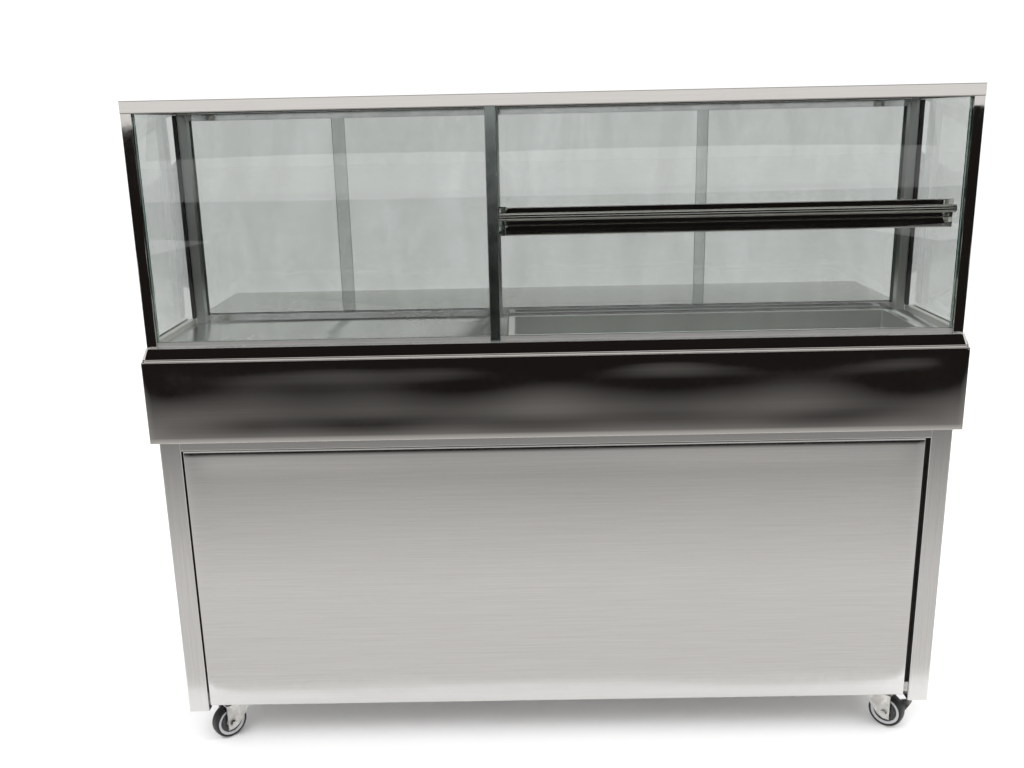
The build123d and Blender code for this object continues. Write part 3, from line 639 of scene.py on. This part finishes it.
def add_profile(bm, profile, x0, x1, closed=False, cells=1):
    """Extrude a profile of (y, z) points along X."""
    rows = []
    for k in range(cells + 1):
        x = x0 + (x1 - x0) * k / cells
        rows.append([bm.verts.new((x, y, z)) for y, z in profile])
    count = len(profile)
    for near, far in zip(rows, rows[1:]):
        for i in range(count if closed else count - 1):
            j = (i + 1) % count
            bm.faces.new((near[i], near[j], far[j], far[i]))
    if closed:
        bm.faces.new(rows[0])
        bm.faces.new(list(reversed(rows[-1])))


def add_shelf():
    """The steel shelf: a folded tray with a stepped front edge and a polished half-round bead."""
    low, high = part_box("shelf")
    x0, x1 = low.x, high.x - BEAD_REACH
    front = low.y + BEAD_R
    top, bottom = high.z, low.z
    plate = top - PLATE_DROP
    bead_z = top - BEAD_DROP
    # One folded sheet, from the turned-in foot of the apron over the top edge to the plate's rear lip
    profile = [(front + 10 * MM, bottom + SHEET), (front + 3 * MM, bottom + SHEET)]
    profile += list(arc((front + 2 * MM, bottom + 2 * MM), 2 * MM, 270, 180, 4))
    apron_step = bottom + 17 * MM
    profile += [(front, apron_step), (front + 0.9 * MM, apron_step + 0.6 * MM)]
    profile += [(front + 0.9 * MM, apron_step + 2 * MM), (front, apron_step + 2.6 * MM)]
    profile += [(front, top - 1.6 * MM)]
    profile += list(arc((front + 1.6 * MM, top - 1.6 * MM), 1.6 * MM, 180, 0, 8))
    profile += [(front + 3.2 * MM, plate + 2 * MM)]
    profile += list(arc((front + 5.2 * MM, plate + 2 * MM), 2 * MM, 180, 270, 4))
    profile += [(high.y - 2 * MM, plate), (high.y - 0.6 * MM, plate + 0.6 * MM), (high.y, plate + 2 * MM)]
    bm = bmesh.new()
    add_profile(bm, profile, x0, x1, cells=40)
    bmesh.ops.recalc_face_normals(bm, faces=bm.faces)
    tray = link_mesh("shelf_tray", bm, (MIRROR,), "counter", ("shelf",), sharp=40)
    sheet = tray.modifiers.new("sheet", "SOLIDIFY")
    sheet.thickness = 1.2 * MM
    sheet.offset = 0
    bead = [(front - 0.2 * MM, bead_z + 8 * MM)]
    bead += [(front - BEAD_R * math.cos(a), bead_z - 8 * MM * math.sin(a))
             for a in (math.radians(-75 + 105 * k / 12) for k in range(13))]
    bead += [(front - 0.2 * MM, bead_z - 7 * MM)]
    bm = bmesh.new()
    add_profile(bm, bead, x0 + 1 * MM, x1 + BEAD_REACH, closed=True, cells=40)
    bmesh.ops.recalc_face_normals(bm, faces=bm.faces)
    link_mesh("shelf_bead", bm, (MIRROR,), "counter", sharp=40)


# ---------------------------------------------------------------- casters


def joint(name):
    """A joint of the record, by name."""
    return next(j for j in frame["joints"] if j["name"] == name)


def add_caster_wheels():
    """Turned tyres with crowned treads, and wheel centres with a dust cover on each face."""
    for corner in CORNERS:
        spin = joint(f"spin_{corner}")
        centre = Vector(spin["pos_m"])
        axis = Vector(spin["axis"]).normalized()
        body = f"caster_{corner}_wheel"
        start, stop, radius = mesh_span(f"caster_tyre_{corner}", centre, axis)
        half = (stop - start) / 2
        inner = radius - 6 * MM
        tyre = [(inner, -half + 0.8 * MM), (radius - 4 * MM, -half)]
        tyre += [(radius - 2 * MM, -half + 1 * MM), (radius - 0.7 * MM, -half + 3.5 * MM)]
        tyre += [(radius, -half + 7 * MM)]
        tyre += [(r, -t) for r, t in reversed(tyre)]
        bm = bmesh.new()
        add_lathe(bm, centre, axis, tyre, 96)
        bmesh.ops.recalc_face_normals(bm, faces=bm.faces)
        link_mesh(f"tyre_{corner}", bm, (TYRE,), body, (f"caster_tyre_{corner}",))

        hub_half = 16 * MM
        core = [(4.1 * MM, -hub_half), (9 * MM, -hub_half), (10.5 * MM, -hub_half + 1.5 * MM)]
        core += [(11 * MM, -half + 6 * MM), (13 * MM, -half + 4.5 * MM), (22 * MM, -half + 3.5 * MM)]
        core += [(25 * MM, -half + 1 * MM), (28 * MM, -half + 0.6 * MM), (inner, -half + 1.2 * MM)]
        core += [(r, -t) for r, t in reversed(core)]
        bm = bmesh.new()
        add_lathe(bm, centre, axis, core, 96)
        bmesh.ops.recalc_face_normals(bm, faces=bm.faces)
        link_mesh(f"wheel_{corner}", bm, (WHEEL_GREY,), body, (f"caster_wheel_{corner}",))

        for face, sign in (("inner", -1), ("outer", 1)):
            cover = [(11.6 * MM, half - 4.2 * MM), (22 * MM, half - 3.2 * MM), (23.4 * MM, half - 2.4 * MM)]
            cover += [(22.5 * MM, half - 1.2 * MM), (13 * MM, half - 0.2 * MM), (11.6 * MM, half - 1 * MM)]
            bm = bmesh.new()
            add_lathe(bm, centre, axis, [(r, sign * t) for r, t in cover], 72)
            bmesh.ops.recalc_face_normals(bm, faces=bm.faces)
            link_mesh(f"dust_cover_{corner}_{face}", bm, (COVER,), body)


BOLT_R = 5.5 * MM
BOLT_HEAD = 3.8 * MM
PLATE_T = 3 * MM
BOLT_X = 36 * MM
BOLT_Y = 24 * MM


def add_plate_bolts():
    """Four flanged bolts under each caster plate."""
    for corner in CORNERS:
        pivot = Vector(joint(f"swivel_{corner}")["pos_m"])
        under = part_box("frame_rails_bottom")[0].z - PLATE_T
        bm = bmesh.new()
        for sx in (-1, 1):
            for sy in (-1, 1):
                centre = Vector((pivot.x + sx * BOLT_X, pivot.y + sy * BOLT_Y, under))
                head = [(0.01 * MM, 0), (BOLT_R + 1.5 * MM, 0), (BOLT_R + 1.5 * MM, -0.8 * MM)]
                head += [(BOLT_R, -1.2 * MM), (BOLT_R, -BOLT_HEAD + 0.5 * MM)]
                head += [(BOLT_R - 1 * MM, -BOLT_HEAD), (0.01 * MM, -BOLT_HEAD)]
                add_lathe(bm, centre, Vector((0, 0, 1)), head, 24)
        bmesh.ops.remove_doubles(bm, verts=bm.verts, dist=0.02 * MM)
        bmesh.ops.recalc_face_normals(bm, faces=bm.faces)
        link_mesh(f"plate_bolts_{corner}", bm, (ZINC,), "counter")


# ---------------------------------------------------------------- painted shade strips and small trim

REAR_POST_SHADE_T = 7 * MM


def add_shade_by_rear_posts():
    """Black strips on the outer faces of the rear posts, beside the side glass: painted shade for the shadow
    gap there.
    """
    for side, s in SIDES:
        post_low, post_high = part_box(f"case_post_rear_{side}")
        glass_low, glass_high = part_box(f"glass_side_{side}")
        post_face = post_low.x if s < 0 else post_high.x
        ends = sorted((post_face, post_face + s * REAR_POST_SHADE_T))
        bm = bmesh.new()
        low = Vector((ends[0], post_low.y - 5 * MM, glass_low.z + 8 * MM))
        high = Vector((ends[1], post_low.y + 16 * MM, glass_high.z - 1 * MM))
        add_slab(bm, low, high, 1 * MM, segments=3)
        link_mesh(f"gasket_{side}", bm, (REAR_POST_SHADE_DARK,), "counter")


CAP_T = 1.5 * MM
CAP_GAP = 0.4 * MM
CAP_BEVEL = 0.5 * MM


def add_rail_caps():
    """Steel caps in the open ends of the top rails' tubes."""
    low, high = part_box("top_rail_front")
    sides_low, sides_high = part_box("top_rail_sides")
    tube = high.y - low.y
    bm = bmesh.new()
    for end, s in ((low.x, 1), (high.x, -1)):
        xs = sorted((end + s * 0.1 * MM, end + s * CAP_T))
        add_slab(bm, (xs[0], low.y + CAP_GAP, low.z + CAP_GAP),
                 (xs[1], high.y - CAP_GAP, high.z - CAP_GAP), CAP_BEVEL)
    for edge, s in ((sides_low.x, 1), (sides_high.x, -1)):
        xs = sorted((edge + s * CAP_GAP, edge + s * (tube - CAP_GAP)))
        add_slab(bm, (xs[0], sides_high.y - CAP_T, sides_low.z + CAP_GAP),
                 (xs[1], sides_high.y - 0.1 * MM, sides_high.z - CAP_GAP), CAP_BEVEL)
    link_mesh("rail_caps", bm, (MIRROR,), "counter")


# ---------------------------------------------------------------- CAD nodes that keep their shape

NODE_MATERIALS = {
    SATIN_POST: (*(f"base_post_{corner}" for corner in CORNERS), "rear_mullion"),
    SATIN: ("frame_rails_bottom", "frame_rails_top", "bottom_shelf", "mid_shelf"),
    CASE_TUBE: ("case_post_rear_left", "case_post_rear_right", "divider_post_rear"),
    DIVIDER_SHADE_STEEL: ("divider_post_front",),
    CHANNEL: ("glass_channels",),
    TRACK: ("door_tracks", "top_rail_rear"),
    WELL: ("well_pan",),
    MIRROR_UPRIGHT: ("case_post_front_left", "case_post_front_right", "cabinet_handle_left",
                     "cabinet_handle_right"),
    MIRROR: ("top_rail_front", "top_rail_sides", "shelf_brackets"),
    ZINC: ("hinge_leaf_left", "hinge_leaf_right", "hinge_leaves_fixed", "caster_plates",
           *(f"caster_fork_{corner}" for corner in CORNERS)),
}


def dress_frame():
    """Give each CAD node that stays visible its material."""
    for material, nodes in NODE_MATERIALS.items():
        for node in nodes:
            mesh = frame["nodes"][node].data
            mesh.materials.clear()
            mesh.materials.append(material)


# ---------------------------------------------------------------- the studio


def add_studio():
    """Plain pale floor, soft light and plain cards for the polished steel to mirror."""
    world = bpy.data.worlds.new("studio")
    bpy.context.scene.world = world
    world.use_nodes = True
    background = world.node_tree.nodes["Background"]
    background.inputs["Color"].default_value = (1.0, 1.0, 1.0, 1.0)
    background.inputs["Strength"].default_value = 1.08
    bpy.context.scene.view_settings.view_transform = "Standard"
    bpy.context.scene.cycles.transparent_max_bounces = 24
    stage_plane("floor", (0, 0, 0), (60, 60), (0, 0, 0), floor_material())
    add_softbox("key", (-1.6, -2.6, 3.4), (0, 0, 0.7), (2.4, 1.6), 60)
    add_softbox("fill", (2.6, -1.2, 2.6), (0, 0, 0.7), (1.6, 1.6), 30)
    add_softbox("back", (0.5, 3.0, 3.2), (0, 0, 0.7), (3.0, 1.6), 60)
    add_cards()


CARD_DARK = (0.015, 0.013, 0.012)
CARD_PALE = (0.85, 0.84, 0.82)
CARD_NEAR = 0.2  # from the case to the near edge of the floor cards
CARD_Z = (0.005, 0.003)  # two heights, because neighbouring floor cards overlap
FLOOR_WIDTH = 9.0
WALL_WIDTH = 16.0
WALL_AT = 7.0
WALL_H = 1.3
WALL_SUNK = 0.05
HIGH_AT = (0, -3.2, 3.0)
HIGH_SIZE = (6.4, 2.4)


def add_cards():
    """Plain cards seen only in gloss: a fading floor and a low dark wall on each side, and a high card."""
    floor_card = card_material("floor_card", CARD_DARK, CARD_PALE)
    dark_card = card_material("dark_card", CARD_DARK, CARD_DARK)
    cards = [("flag_high", HIGH_AT, HIGH_SIZE, (math.pi / 2, 0, 0), dark_card)]
    reach = CAD_BOX[1]
    sides = (("front", reach.y), ("east", reach.x), ("rear", reach.y), ("west", reach.x))
    for step, (name, half) in enumerate(sides):
        turn = step * math.pi / 2
        around = Matrix.Rotation(turn, 3, "Z")
        depth = WALL_AT - half - CARD_NEAR
        middle = around @ Vector((0, -WALL_AT + depth / 2, CARD_Z[step % 2]))
        wall = around @ Vector((0, -WALL_AT, WALL_H / 2 - WALL_SUNK))
        cards.append((f"flag_floor_{name}", middle, (FLOOR_WIDTH, depth), (0, 0, turn), floor_card))
        cards.append((f"flag_wall_{name}", wall, (WALL_WIDTH, WALL_H), (math.pi / 2, 0, turn), dark_card))
    for name, centre, size, turn, material in cards:
        only_in_reflections(stage_plane(name, centre, size, turn, material))


add_camera()
add_studio()
add_fixed_glass()
add_sliding_doors()
add_cabinet_panels()
add_panel_trim()
add_fascia()
add_worktop()
add_shelf()
add_caster_wheels()
add_plate_bolts()
add_shade_by_rear_posts()
add_rail_caps()
dress_frame()
